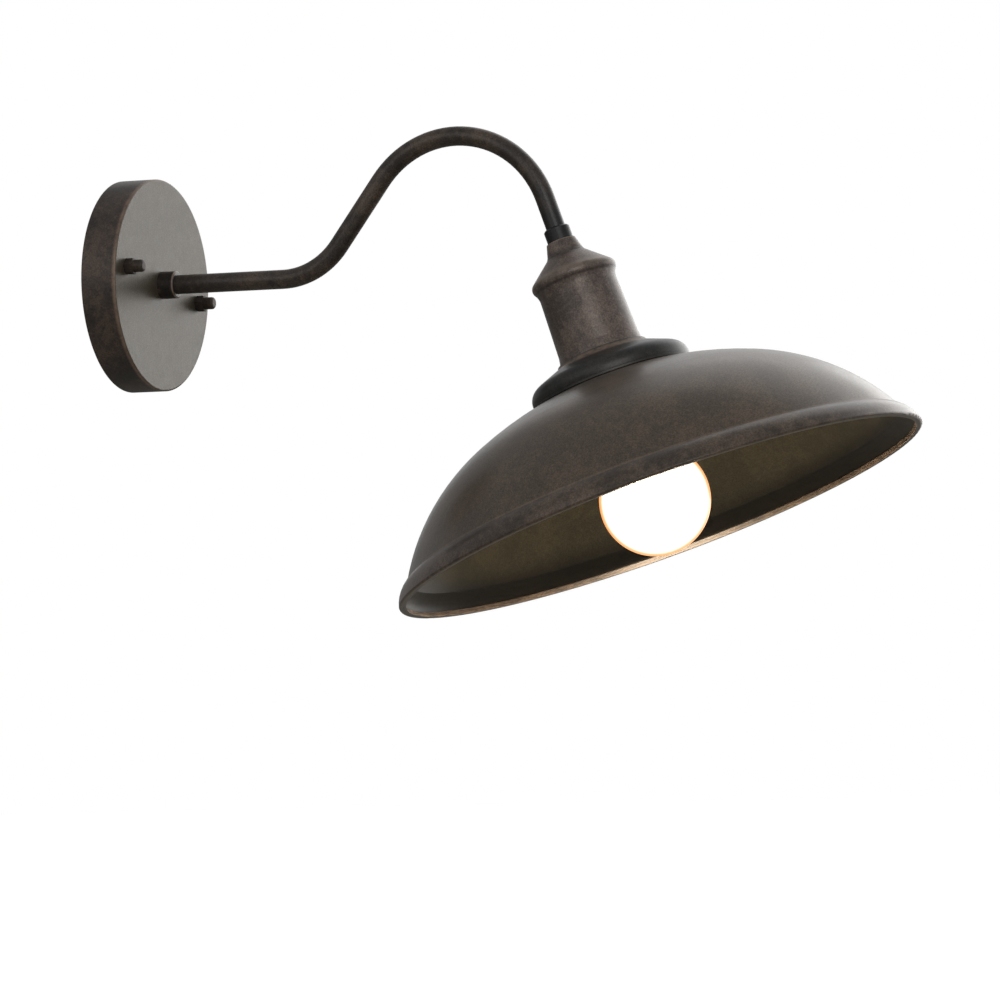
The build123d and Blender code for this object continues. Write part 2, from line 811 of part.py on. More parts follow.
def build_contact_tongue():
    """Bowed leaf spring under the block that meets the bulb's tip."""
    reach = tongue_length / 2
    lowest = bulb_tip + bearing_gap
    upper_end = reach - 2 * tongue_thickness
    outline = [
        ThreePointArc((-reach, cavity_top), (0, lowest), (reach, cavity_top)),
        Line((reach, cavity_top), (upper_end, cavity_top)),
        ThreePointArc((upper_end, cavity_top), (0, lowest + tongue_thickness), (-upper_end, cavity_top)),
        Line((-upper_end, cavity_top), (-reach, cavity_top)),
    ]
    return head * extrude(Plane.XZ * make_face(outline), tongue_width / 2, both=True)


# ---------------------------------------------------------------- bulb
bulb_centre = bulb_tip - bulb_length + bulb_radius
shell_rim = bulb_tip - base_shell_length


def glass_chain(inset):
    """Half outline of the envelope from its pole to its neck, moved inward by the glass."""
    globe = bulb_radius - inset
    neck = bulb_neck_radius - inset
    rise = shell_rim - bulb_centre
    cove = (rise**2 / (bulb_radius - bulb_neck_radius) - bulb_radius - bulb_neck_radius) / 2
    towards = Vector(bulb_neck_radius + cove, rise).normalized()
    pole = Vector(0, bulb_centre - globe)
    waist = Vector(0, bulb_centre) + globe * towards
    side = Vector(globe, bulb_centre)
    neck_start = Vector(neck, shell_rim)
    return [ThreePointArc(pole, side, waist), TangentArc(neck_start, waist, tangent=(0, -1))]


def build_bulb_globe():
    """Thin glass envelope, open at the neck inside the base."""
    top = shell_rim + base_glass_grip
    inner_neck = bulb_neck_radius - bulb_glass
    pole = bulb_centre - bulb_radius
    outline = [
        *glass_chain(0),
        Line((bulb_neck_radius, shell_rim), (bulb_neck_radius, top)),
        Line((bulb_neck_radius, top), (inner_neck, top)),
        Line((inner_neck, top), (inner_neck, shell_rim)),
        *glass_chain(bulb_glass),
        Line((0, pole + bulb_glass), (0, pole)),
    ]
    return spun(outline)


def build_bulb_shell():
    """Metal screw base with its conical crimp round the insulator."""
    inner = base_shell_radius - base_shell_wall
    corners = [
        (base_shell_radius, shell_rim),
        (base_shell_radius, bulb_tip - base_crimp_height),
        (base_crimp_radius, bulb_tip - base_crimp_start),
        (insulator_radius + running_gap, bulb_tip - base_crimp_start),
        (insulator_radius + running_gap, bulb_tip - base_crimp_start - base_shell_wall),
        (inner, bulb_tip - base_crimp_height - base_shell_wall),
        (inner, shell_rim),
    ]
    return spun(Polyline(*corners, close=True))


def build_bulb_insulator():
    """Glass button between the screw base and the tip contact."""
    corners = [
        (0, bulb_tip - bulb_contact_height),
        (bulb_contact_radius, bulb_tip - bulb_contact_height),
        (insulator_radius, bulb_tip - base_crimp_start),
        (insulator_radius, bulb_tip - base_crimp_height),
        (0, bulb_tip - base_crimp_height),
    ]
    return spun(Polyline(*corners, close=True))


def build_bulb_contact():
    """Domed solder contact at the bulb's tip."""
    seat = bulb_tip - bulb_contact_height
    corners = [
        (0, seat),
        (bulb_contact_radius, seat),
        (bulb_contact_radius, seat + bulb_contact_height / 2),
        (bulb_contact_radius - bulb_contact_height, bulb_tip),
        (0, bulb_tip),
    ]
    return spun(Polyline(*corners, close=True))


def build_bulb_stem():
    """Glass stem that closes the envelope's neck and carries the filament."""
    flare_foot = shell_rim + base_glass_grip
    edge = flare_foot - stem_flare_edge
    end = bulb_tip - stem_reach
    corners = [
        (0, flare_foot),
        (stem_flare_radius, flare_foot),
        (stem_flare_radius, edge),
        (stem_radius, edge - stem_flare_height),
        (stem_radius, end),
        (0, end),
    ]
    return spun(Polyline(*corners, close=True))


def build_filament():
    """Filament wire in one bow below the stem, on two support legs."""
    end = bulb_tip - stem_reach
    half = filament_width / 2
    leg = stem_radius / 2
    low = end - filament_drop
    bend = end - filament_drop / 4
    route = [(-leg, end), (-leg, bend), (-half, low), (half, low), (leg, bend), (leg, end)]
    path = head * Plane.XZ * FilletPolyline(*route, radius=filament_bend)
    return sweep(Plane(origin=path @ 0, z_dir=path % 0) * Circle(filament_wire), path)


# ---------------------------------------------------------------- all pieces
save("wall_strap", build_wall_strap())
save("ground_screw", build_ground_screw())
save("pivot_eyelet", build_pivot_eyelet())
save("swivel_strap", build_swivel_strap())
save("canopy_studs", build_canopy_studs())
save("stud_nuts", build_stud_nuts())
save("canopy", build_canopy())
save("cap_nuts", build_cap_nuts())

save("base_collar", build_base_collar())
save("root_nipple", build_root_nipple())
save("root_washer", build_root_washer())
save("root_locknut", build_root_locknut())
save("arm_tube", build_arm_tube())
save("arm_collar", build_arm_collar())
save("neck_nipple", build_neck_nipple())
save("neck_locknut", build_neck_locknut())
save("live_lead", build_lead(1))
save("neutral_lead", build_lead(-1))
save("wire_connectors", build_wire_connectors())

save("socket_cup", build_socket_cup())
save("fitter_flange", build_fitter_flange())
save("shade", build_shade())
save("shade_ring", build_shade_ring())

save("socket_cap", build_socket_cap())
save("socket_body", build_socket_body())
save("terminal_plates", build_terminal_plates())
save("terminal_screws", build_terminal_screws())
save("screw_shell", build_screw_shell())
save("contact_tongue", build_contact_tongue())

save("bulb_globe", build_bulb_globe())
save("bulb_shell", build_bulb_shell())
save("bulb_insulator", build_bulb_insulator())
save("bulb_contact", build_bulb_contact())
save("bulb_stem", build_bulb_stem())
save("filament", build_filament())
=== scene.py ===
from math import cos, pi, radians, sin

import bmesh
import bpy
from mathutils import Matrix, Quaternion, Vector


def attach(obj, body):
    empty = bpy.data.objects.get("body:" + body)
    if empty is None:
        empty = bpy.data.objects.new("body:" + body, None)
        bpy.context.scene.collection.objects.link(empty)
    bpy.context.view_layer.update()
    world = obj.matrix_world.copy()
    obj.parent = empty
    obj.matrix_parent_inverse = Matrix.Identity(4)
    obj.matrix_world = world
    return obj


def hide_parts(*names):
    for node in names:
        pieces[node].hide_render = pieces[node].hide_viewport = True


# A gooseneck wall light in oil-rubbed bronze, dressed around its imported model, in metres.
# The wall is the plane y = 0, the light stands out along -Y, and +Z is up.
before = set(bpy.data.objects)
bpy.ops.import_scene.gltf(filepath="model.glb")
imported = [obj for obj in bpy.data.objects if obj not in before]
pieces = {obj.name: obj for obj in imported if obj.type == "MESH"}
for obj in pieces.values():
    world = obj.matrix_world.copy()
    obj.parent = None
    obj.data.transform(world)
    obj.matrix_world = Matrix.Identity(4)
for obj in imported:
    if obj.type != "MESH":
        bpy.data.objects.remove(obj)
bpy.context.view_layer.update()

# ---------------------------------------------------------------- camera and studio
# A long lens looks at the light from its left side and a little from below. The studio is a pale
# floor, a white surround, three soft lamps beyond the light and two on the camera's side of it.
target = Vector((0.0, -0.225143, -0.127634))
azimuth, rise, roll = radians(-67.403), radians(-1.854), radians(-1.095)
lens_distance, lens_length, sensor_width = 3.0, 196.155, 36.0
back = Vector((sin(azimuth) * cos(rise), -cos(azimuth) * cos(rise), sin(rise)))
camera = bpy.data.objects.new("camera", bpy.data.cameras.new("camera"))
camera.data.sensor_fit = "HORIZONTAL"
camera.data.sensor_width = sensor_width
camera.data.lens = lens_length
camera.rotation_mode = "QUATERNION"
camera.rotation_quaternion = back.to_track_quat("Z", "Y") @ Quaternion((0, 0, 1), roll)
camera.location = target + lens_distance * back
bpy.context.scene.collection.objects.link(camera)
bpy.context.scene.camera = camera
bpy.context.scene.view_settings.view_transform = "Standard"


def add_node(tree, kind, **values):
    """Adds a node and sets its properties and its unlinked inputs by name."""
    node = tree.nodes.new(kind)
    for name, value in values.items():
        if hasattr(node, name):
            setattr(node, name, value)
        else:
            node.inputs[name.replace("_", " ")].default_value = value
    return node


def soft_lamp(name, heading, height, distance, width, tall, watts, colour):
    """A rectangular soft lamp aimed at the light from a heading and a height in degrees."""
    turn, lift = radians(heading), radians(height)
    towards = Vector((sin(turn) * cos(lift), -cos(turn) * cos(lift), sin(lift)))
    lamp = bpy.data.lights.new(name, "AREA")
    lamp.shape = "RECTANGLE"
    lamp.size = width
    lamp.size_y = tall
    lamp.energy = watts
    lamp.color = colour
    lamp_object = bpy.data.objects.new(name, lamp)
    lamp_object.location = target + distance * towards
    lamp_object.rotation_mode = "QUATERNION"
    lamp_object.rotation_quaternion = towards.to_track_quat("Z", "Y")
    bpy.context.scene.collection.objects.link(lamp_object)


white, soft_white, warm_white = (1, 1, 1), (1, 0.99, 0.96), (1, 0.97, 0.94)
soft_lamp("top_lamp", 88, 52, distance=1.9, width=1.4, tall=1.2, watts=3.5, colour=white)
soft_lamp("rim_lamp", 76, 10, distance=2.1, width=1.5, tall=1.4, watts=8.5, colour=soft_white)
soft_lamp("back_lamp", 108, 22, distance=2.1, width=1.5, tall=1.4, watts=3, colour=white)
soft_lamp("side_lamp", -58, 14, distance=2.6, width=1.6, tall=1.6, watts=16, colour=warm_white)
soft_lamp("wall_lamp", -110, 20, distance=2.6, width=1.6, tall=1.6, watts=4, colour=warm_white)

# The surround is white to the camera and through glass. To the object it is a soft light, brighter
# on the side away from the camera.
world = bpy.data.worlds.new("studio")
bpy.context.scene.world = world
world.use_nodes = True
sky = world.node_tree
sky.nodes.clear()
direction = add_node(sky, "ShaderNodeTexCoord")
bright_side = add_node(sky, "ShaderNodeVectorMath", operation="DOT_PRODUCT")
brightest = Vector((0.90, -0.40, 0.10))
bright_side.inputs[1].default_value = brightest.normalized()
surround = add_node(sky, "ShaderNodeMapRange", From_Min=0.60, From_Max=0.99, To_Min=0.28, To_Max=1.4)
surround.interpolation_type = "SMOOTHSTEP"
rays = add_node(sky, "ShaderNodeLightPath")
in_view = add_node(sky, "ShaderNodeMath", operation="MAXIMUM")
strength = add_node(sky, "ShaderNodeMix", data_type="FLOAT")
strength.inputs["B"].default_value = 1.0
background = add_node(sky, "ShaderNodeBackground", Color=(1, 1, 1, 1))
output = add_node(sky, "ShaderNodeOutputWorld")
sky.links.new(direction.outputs["Generated"], bright_side.inputs[0])
sky.links.new(bright_side.outputs["Value"], surround.inputs["Value"])
sky.links.new(rays.outputs["Is Camera Ray"], in_view.inputs[0])
sky.links.new(rays.outputs["Is Transmission Ray"], in_view.inputs[1])
sky.links.new(in_view.outputs[0], strength.inputs["Factor"])
sky.links.new(surround.outputs["Result"], strength.inputs["A"])
sky.links.new(strength.outputs["Result"], background.inputs["Strength"])
sky.links.new(background.outputs["Background"], output.inputs["Surface"])

floor_radius, floor_height = 7.0, -0.46
floor_mesh = bmesh.new()
bmesh.ops.create_circle(floor_mesh, cap_ends=True, segments=96, radius=floor_radius)
bmesh.ops.translate(floor_mesh, verts=floor_mesh.verts[:], vec=(0, -0.2, floor_height))
floor_data = bpy.data.meshes.new("floor")
floor_mesh.to_mesh(floor_data)
floor_mesh.free()
floor = bpy.data.objects.new("floor", floor_data)
bpy.context.scene.collection.objects.link(floor)

# The floor is pale paper to the camera, a dimmer paper to the object above it, and see-through
# from underneath. These are the sockets of a colour Mix node:
mix_factor, mix_first, mix_second, mix_result = 0, 6, 7, 2
paper = bpy.data.materials.new("floor_paper")
paper.use_nodes = True
tree = paper.node_tree
tree.nodes.clear()
rays = add_node(tree, "ShaderNodeLightPath")
paper_tone = add_node(tree, "ShaderNodeMix", data_type="RGBA")
paper_tone.inputs[mix_first].default_value = (0.26, 0.25, 0.23, 1)
paper_tone.inputs[mix_second].default_value = (0.86, 0.86, 0.85, 1)
matt = add_node(tree, "ShaderNodeBsdfDiffuse")
whitening = add_node(tree, "ShaderNodeMath", operation="MULTIPLY")
whitening.inputs[1].default_value = 0.71
glow = add_node(tree, "ShaderNodeEmission", Color=(1, 1, 1, 1))
top_face = add_node(tree, "ShaderNodeAddShader")
facing = add_node(tree, "ShaderNodeNewGeometry")
clear = add_node(tree, "ShaderNodeBsdfTransparent")
either_face = add_node(tree, "ShaderNodeMixShader")
output = add_node(tree, "ShaderNodeOutputMaterial")
tree.links.new(rays.outputs["Is Camera Ray"], whitening.inputs[0])
tree.links.new(rays.outputs["Is Camera Ray"], paper_tone.inputs[mix_factor])
tree.links.new(paper_tone.outputs[mix_result], matt.inputs["Color"])
tree.links.new(whitening.outputs[0], glow.inputs["Strength"])
tree.links.new(matt.outputs[0], top_face.inputs[0])
tree.links.new(glow.outputs[0], top_face.inputs[1])
tree.links.new(facing.outputs["Backfacing"], either_face.inputs[0])
tree.links.new(top_face.outputs[0], either_face.inputs[1])
tree.links.new(clear.outputs[0], either_face.inputs[2])
tree.links.new(either_face.outputs[0], output.inputs["Surface"])
floor_data.materials.append(paper)

# ---------------------------------------------------------------- crossbar
# The bar behind the canopy is two pressed steel straps, zinc plated, riveted together by a hollow
# brass eyelet, with a green earthing screw tapped into the fixed one.


def new_group(name, inputs, outputs):
    """Starts a node group with named sockets and returns its tree, its input and its output."""
    group = bpy.data.node_groups.new(name, "ShaderNodeTree")
    for socket, kind, value in inputs:
        made = group.interface.new_socket(socket, in_out="INPUT", socket_type=kind)
        if value is not None:
            made.default_value = value
    for socket, kind in outputs:
        group.interface.new_socket(socket, in_out="OUTPUT", socket_type=kind)
    return group, add_node(group, "NodeGroupInput"), add_node(group, "NodeGroupOutput")


def feed(tree, socket, value):
    """Links a socket to another, or sets it to a value."""
    if isinstance(value, bpy.types.NodeSocket):
        tree.links.new(value, socket)
    else:
        socket.default_value = value


def mixed(tree, factor, first, second, mode="MIX"):
    """Mixes two colours, each a socket or a colour, by a socket or a number."""
    node = add_node(tree, "ShaderNodeMix", data_type="RGBA", blend_type=mode)
    feed(tree, node.inputs[mix_factor], factor)
    feed(tree, node.inputs[mix_first], first)
    feed(tree, node.inputs[mix_second], second)
    return node.outputs[mix_result]


def maths(tree, operation, *terms):
    """A maths node on sockets or numbers."""
    node = add_node(tree, "ShaderNodeMath", operation=operation)
    for socket, term in zip(node.inputs, terms):
        feed(tree, socket, term)
    return node.outputs[0]


def noise(tree, vector, scale, detail=3.0, roughness=0.5):
    """A noise pattern on a vector, as a value from 0 to 1."""
    node = add_node(tree, "ShaderNodeTexNoise", Scale=scale, Detail=detail, Roughness=roughness)
    tree.links.new(vector, node.inputs["Vector"])
    return node.outputs["Fac"]


def span(tree, value, low, high, new_low=0.0, new_high=1.0):
    """Maps a value smoothly from one range to another."""
    node = add_node(tree, "ShaderNodeMapRange", interpolation_type="SMOOTHSTEP",
                    From_Min=low, From_Max=high, To_Min=new_low, To_Max=new_high)
    tree.links.new(value, node.inputs["Value"])
    return node.outputs["Result"]


VECTOR, COLOUR, NUMBER = "NodeSocketVector", "NodeSocketColor", "NodeSocketFloat"

# Bare metal: fine scratches and a little tarnish, for plated steel, brass and aluminium.
plain_metal, given, made = new_group(
    "plain_metal",
    [("Vector", VECTOR, None),
     ("Clean", COLOUR, (0.6, 0.6, 0.6, 1)),
     ("Tarnish", COLOUR, (0.4, 0.4, 0.4, 1)),
     ("Spread", NUMBER, 0.5),
     ("Scale", NUMBER, 1.0)],
    [("Color", COLOUR), ("Roughness", NUMBER), ("Height", NUMBER)],
)
scaled = add_node(plain_metal, "ShaderNodeVectorMath", operation="SCALE")
plain_metal.links.new(given.outputs["Vector"], scaled.inputs[0])
plain_metal.links.new(given.outputs["Scale"], scaled.inputs["Scale"])
cloud = span(plain_metal, noise(plain_metal, scaled.outputs[0], 160, 4, 0.6), 0.35, 0.75)
grain = noise(plain_metal, scaled.outputs[0], 2600, 2)
patch = maths(plain_metal, "MULTIPLY", cloud, given.outputs["Spread"])
tone = mixed(plain_metal, patch, given.outputs["Clean"], given.outputs["Tarnish"])
scratch = mixed(plain_metal, grain, (0.55, 0.55, 0.55, 1), (1, 1, 1, 1))
tone = mixed(plain_metal, 0.35, tone, scratch, "MULTIPLY")
rough = maths(plain_metal, "MULTIPLY_ADD", grain, 0.18, 0.22)
plain_metal.links.new(tone, made.inputs["Color"])
plain_metal.links.new(rough, made.inputs["Roughness"])
plain_metal.links.new(grain, made.inputs["Height"])


def new_material(name, **values):
    """An empty material with its Principled shader set, and its tree and Object coordinates."""
    material = bpy.data.materials.new(name)
    material.use_nodes = True
    tree = material.node_tree
    shader = tree.nodes["Principled BSDF"]
    for socket, value in values.items():
        shader.inputs[socket.replace("_", " ")].default_value = value
    place = add_node(tree, "ShaderNodeTexCoord")
    return material, tree, shader, place.outputs["Object"]


def put_group(tree, group, vector, shader, bump=0.1, depth=0.0002, **values):
    """Places a finish group, and feeds its colour, roughness and bump to the shader."""
    node = add_node(tree, "ShaderNodeGroup", node_tree=group)
    tree.links.new(vector, node.inputs["Vector"])
    for socket, value in values.items():
        feed(tree, node.inputs[socket], value)
    relief = add_node(tree, "ShaderNodeBump", Strength=bump, Distance=depth)
    tree.links.new(node.outputs["Color"], shader.inputs["Base Color"])
    tree.links.new(node.outputs["Roughness"], shader.inputs["Roughness"])
    tree.links.new(node.outputs["Height"], relief.inputs["Height"])
    tree.links.new(relief.outputs["Normal"], shader.inputs["Normal"])


def metal(name, clean, tarnish, spread, scale=1.0, metallic=1.0, bump=0.12):
    """A bare or thinly plated metal material."""
    material, tree, shader, place = new_material(name, Metallic=metallic)
    put_group(tree, plain_metal, place, shader, bump,
              Clean=clean, Tarnish=tarnish, Spread=spread, Scale=scale)
    return material


def dress(material, *names):
    """Gives CAD nodes a material."""
    for name in names:
        data = pieces[name].data
        data.materials.clear()
        data.materials.append(material)


zinc = metal("zinc_plate", (0.62, 0.62, 0.60, 1), (0.42, 0.43, 0.45, 1), 0.7)
dress(zinc, "wall_strap", "swivel_strap")
brass = metal("brass", (0.72, 0.52, 0.24, 1), (0.46, 0.30, 0.13, 1), 0.6)
dress(brass, "pivot_eyelet")
earth_green = metal("earth_green", (0.03, 0.27, 0.09, 1), (0.02, 0.16, 0.06, 1), 0.6,
                    metallic=0.35, bump=0.1)
dress(earth_green, "ground_screw")

# ---------------------------------------------------------------- studs and their lock nuts
# Two long machine screws stand out of the swivelling strap, each locked by a hex nut. They are
# rolled steel, zinc plated and passivated yellow, and threaded almost to the tip.
stud_place, stud_slant = 0.0457, -10
stud_radius, stud_root, stud_pitch = 0.0021, 0.00172, 0.0008
head_radius, head_back, strap_seat = 0.0035, 0.00255, 0.00495
stud_tip, stud_point, stud_run_in, stud_run_out = 0.029, 0.0004, 0.0003, 0.0022
wall_side = Matrix.Rotation(radians(90), 4, "X")
stud_side = wall_side @ Matrix.Rotation(radians(stud_slant), 4, "Z")


def finish_piece(name, built, place, material, body="fixture", sharp=35):
    """Turns a bmesh into a piece in its place, with its material and its body."""
    bmesh.ops.transform(built, matrix=place, verts=built.verts[:])
    for face in built.faces:
        face.smooth = True
    data = bpy.data.meshes.new(name)
    built.to_mesh(data)
    built.free()
    data.set_sharp_from_angle(angle=radians(sharp))
    data.materials.append(material)
    piece = bpy.data.objects.new(name, data)
    bpy.context.scene.collection.objects.link(piece)
    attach(piece, body)
    return piece


def turned(built, outline, steps=64):
    """Adds a closed outline of (radius, height) pairs, spun about the axis."""
    corners = [built.verts.new((radius, 0, height)) for radius, height in outline]
    pairs = zip(corners, corners[1:] + corners[:1])
    edges = [built.edges.new(pair) for pair in pairs if pair[0].co.x > 0 or pair[1].co.x > 0]
    bmesh.ops.spin(
        built, geom=corners + edges, cent=(0, 0, 0), axis=(0, 0, 1), dvec=(0, 0, 0),
        angle=2 * pi, steps=steps, use_merge=True,
    )
    bmesh.ops.remove_doubles(built, verts=built.verts[:], dist=1e-7)
    bmesh.ops.recalc_face_normals(built, faces=built.faces[:])


def ridged(built, section, pitch, turns, steps, start):
    """Adds a thread: a closed section of (radius, height) pairs wound up the axis from a start."""
    corners = [built.verts.new((radius, 0, height + start)) for radius, height in section]
    first = built.faces.new(corners)
    before = set(built.faces)
    bmesh.ops.spin(
        built, geom=corners + list(first.edges), cent=(0, 0, 0), axis=(0, 0, 1),
        dvec=(0, 0, pitch / steps), angle=2 * pi * turns, steps=round(steps * turns),
    )
    wound = [face for face in built.faces if face not in before]
    open_edges = {edge for face in wound for edge in face.edges if len(edge.link_faces) == 1}
    bmesh.ops.holes_fill(built, edges=list(open_edges), sides=len(section))
    bmesh.ops.recalc_face_normals(built, faces=built.faces[:])


def vee_section(root, crest, pitch):
    """The section of one ridge of a screw thread, with its foot sunk a little into the core."""
    foot = root - 0.0001
    return [(foot, 0), (crest, 0.45 * pitch), (crest, 0.55 * pitch), (foot, pitch)]


studs = bmesh.new()
for side in (-1, 1):
    stud = bmesh.new()
    turned(stud, [
        (0, head_back), (head_radius, head_back), (head_radius, strap_seat), (stud_root, strap_seat),
        (stud_root, stud_tip - stud_point), (stud_root - stud_point, stud_tip), (0, stud_tip),
    ], 32)
    stud_turns = (stud_tip - strap_seat - stud_run_out) / stud_pitch
    ridged(stud, vee_section(stud_root, stud_radius, stud_pitch), stud_pitch, stud_turns, 20,
           strap_seat + stud_run_in)
    bmesh.ops.translate(stud, verts=stud.verts[:], vec=(side * stud_place, 0, 0))
    one_stud = bpy.data.meshes.new("one_stud")
    stud.to_mesh(one_stud)
    stud.free()
    studs.from_mesh(one_stud)
    bpy.data.meshes.remove(one_stud)
yellow_zinc = metal("yellow_zinc", (0.52, 0.43, 0.25, 1), (0.34, 0.29, 0.20, 1), 0.7)
threaded_studs = finish_piece("threaded_studs", studs, stud_side, yellow_zinc)
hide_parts("canopy_studs")
dress(yellow_zinc, "stud_nuts")

# ---------------------------------------------------------------- canopy
# The canopy is a cup spun from steel sheet and sprayed in oil-rubbed bronze: a near black brown,
# sponged with a redder one, with its edges rubbed back to a light copper, under a satin lacquer.
# Near black, for painted shade at contacts, creases and seams, and for a darkened end.
shade_and_darkening_black = (0.010, 0.011, 0.013, 1)
rubbed_bronze, given, made = new_group(
    "rubbed_bronze",
    [("Vector", VECTOR, None),
     ("Dark", COLOUR, (0.05, 0.04, 0.035, 1)),
     ("Warm", COLOUR, (0.10, 0.07, 0.05, 1)),
     ("Rubbed", COLOUR, (0.30, 0.21, 0.15, 1)),
     ("Edge", NUMBER, 0.0),
     ("Shade_And_Darkening", NUMBER, 0.0),
     ("Sponging", NUMBER, 0.6),
     ("Gloss", NUMBER, 0.36)],
    [("Color", COLOUR), ("Roughness", NUMBER), ("Height", NUMBER)],
)
place = given.outputs["Vector"]
broad = noise(rubbed_bronze, place, 42, 3, 0.55)
sponge = noise(rubbed_bronze, place, 260, 4, 0.65)
speck = noise(rubbed_bronze, place, 1150, 3, 0.7)
dabs = maths(rubbed_bronze, "MULTIPLY_ADD", broad, 0.55, maths(rubbed_bronze, "MULTIPLY", sponge, 0.45))
dabs = span(rubbed_bronze, dabs, 0.40, 0.62)
dabs = maths(rubbed_bronze, "MULTIPLY", dabs, given.outputs["Sponging"])
tone = mixed(rubbed_bronze, dabs, given.outputs["Dark"], given.outputs["Warm"])
fleck = span(rubbed_bronze, speck, 0.30, 0.72, 0.62, 1.42)
flecked = add_node(rubbed_bronze, "ShaderNodeVectorMath", operation="SCALE")
rubbed_bronze.links.new(tone, flecked.inputs[0])
rubbed_bronze.links.new(fleck, flecked.inputs["Scale"])
uneven = span(rubbed_bronze, sponge, 0.30, 0.62, 0.45, 1.0)
worn = maths(rubbed_bronze, "MULTIPLY", given.outputs["Edge"], uneven)
tone = mixed(rubbed_bronze, worn, flecked.outputs[0], given.outputs["Rubbed"])
# Where Shade_And_Darkening is set the colour goes to near black: painted shade at contacts, creases and
# seams, and a darker end on the arm.
tone = mixed(rubbed_bronze, given.outputs["Shade_And_Darkening"], tone, shade_and_darkening_black)
rough = maths(rubbed_bronze, "MULTIPLY_ADD", sponge, 0.16, given.outputs["Gloss"])
height = maths(rubbed_bronze, "MULTIPLY_ADD", speck, 0.35, maths(rubbed_bronze, "MULTIPLY", sponge, 0.65))
rubbed_bronze.links.new(tone, made.inputs["Color"])
rubbed_bronze.links.new(rough, made.inputs["Roughness"])
rubbed_bronze.links.new(height, made.inputs["Height"])


def length_of(tree, first, second):
    """The length of a vector of two parts."""
    squares = [maths(tree, "MULTIPLY", part, part) for part in (first, second)]
    return maths(tree, "SQRT", maths(tree, "ADD", *squares))


# A ring-shaped mask round a piece's axis, for the worn line along a turned edge.
edge_ring, given, made = new_group(
    "edge_ring",
    [("Vector", VECTOR, None), ("Radius", NUMBER, 0.01), ("Height", NUMBER, 0.0), ("Width", NUMBER, 0.001)],
    [("Mask", NUMBER)],
)
parts = add_node(edge_ring, "ShaderNodeSeparateXYZ")
edge_ring.links.new(given.outputs["Vector"], parts.inputs[0])
across = length_of(edge_ring, parts.outputs[0], parts.outputs[1])
off_radius = maths(edge_ring, "SUBTRACT", across, given.outputs["Radius"])
off_height = maths(edge_ring, "SUBTRACT", parts.outputs[2], given.outputs["Height"])
away = length_of(edge_ring, off_radius, off_height)
share = maths(edge_ring, "DIVIDE", away, given.outputs["Width"])
edge_ring.links.new(span(edge_ring, share, 0.0, 1.0, 1.0, 0.0), made.inputs["Mask"])


def axis_place(tree, vector, origin, turn):
    """Object coordinates moved into a piece's own axis."""
    node = add_node(tree, "ShaderNodeMapping", vector_type="TEXTURE")
    node.inputs["Location"].default_value = origin
    node.inputs["Rotation"].default_value = (radians(turn), 0, 0)
    tree.links.new(vector, node.inputs["Vector"])
    return node.outputs["Vector"]


def rings(tree, vector, edges):
    """The strongest of several ring masks, each of (radius, height, width)."""
    strongest = None
    for radius, height, width in edges:
        node = add_node(tree, "ShaderNodeGroup", node_tree=edge_ring)
        node.inputs["Radius"].default_value = radius
        node.inputs["Height"].default_value = height
        node.inputs["Width"].default_value = width
        tree.links.new(vector, node.inputs["Vector"])
        mask = node.outputs["Mask"]
        strongest = mask if strongest is None else maths(tree, "MAXIMUM", strongest, mask)
    return strongest


front_turn, canopy_face = 90, -0.0200
canopy_edge = (0.0599, 0.0200, 0.0018)
canopy_bronze, tree, shader, place = new_material(
    "canopy_bronze", Metallic=0.2, Coat_Weight=0.1, Coat_Roughness=0.3)
parts = add_node(tree, "ShaderNodeSeparateXYZ")
tree.links.new(place, parts.inputs[0])
front = span(tree, parts.outputs[1], canopy_face, canopy_face - 0.0006)
drawn = add_node(tree, "ShaderNodeMapping", Scale=(1.0, 1.0, 0.12))
tree.links.new(place, drawn.inputs["Vector"])
brushing = span(tree, noise(tree, drawn.outputs["Vector"], 1500, 3, 0.7), 0.25, 0.75)
brushed = mixed(tree, brushing, (0.062, 0.052, 0.036, 1), (0.092, 0.077, 0.054, 1))
brushed_warm = mixed(tree, 0.3, brushed, (0.12, 0.09, 0.065, 1))
dark = mixed(tree, front, (0.042, 0.036, 0.032, 1), brushed)
warm = mixed(tree, front, (0.125, 0.088, 0.068, 1), brushed_warm)
worn = rings(tree, axis_place(tree, place, (0, 0, 0), front_turn), [canopy_edge])
put_group(tree, rubbed_bronze, place, shader, 0.12, 0.0003, Dark=dark, Warm=warm,
          Rubbed=(0.25, 0.175, 0.13, 1), Edge=worn, Sponging=0.7, Gloss=0.36)
dress(canopy_bronze, "canopy")

# ---------------------------------------------------------------- cap nuts
# Two closed nuts with a hexagon and a round finger knob, turned from brass and painted dark. Where
# each meets the canopy, a ring of painted shade darkens it.


def bronze(name, origin=(0, 0, 0), turn=front_turn, edges=(), shade_and_dark_rings=(), darkening_strength=0.9,
           dark=(0.042, 0.036, 0.031, 1), warm=(0.125, 0.086, 0.062, 1),
           rubbed=(0.27, 0.19, 0.14, 1), sponging=0.6, gloss=0.34, coat=0.25):
    """The sprayed bronze finish, with worn rings and darkened rings round a turned piece; most darkened
    rings are painted shade.
    """
    material, tree, shader, place = new_material(
        name, Metallic=0.2, Coat_Weight=coat, Coat_Roughness=0.24)
    own_place = axis_place(tree, place, origin, turn)
    values = dict(Dark=dark, Warm=warm, Rubbed=rubbed, Sponging=sponging, Gloss=gloss)
    if edges:
        values["Edge"] = rings(tree, own_place, edges)
    if shade_and_dark_rings:
        values["Shade_And_Darkening"] = maths(tree, "MULTIPLY", rings(tree, own_place, shade_and_dark_rings), darkening_strength)
    put_group(tree, rubbed_bronze, place, shader, 0.12, 0.0003, **values)
    return material


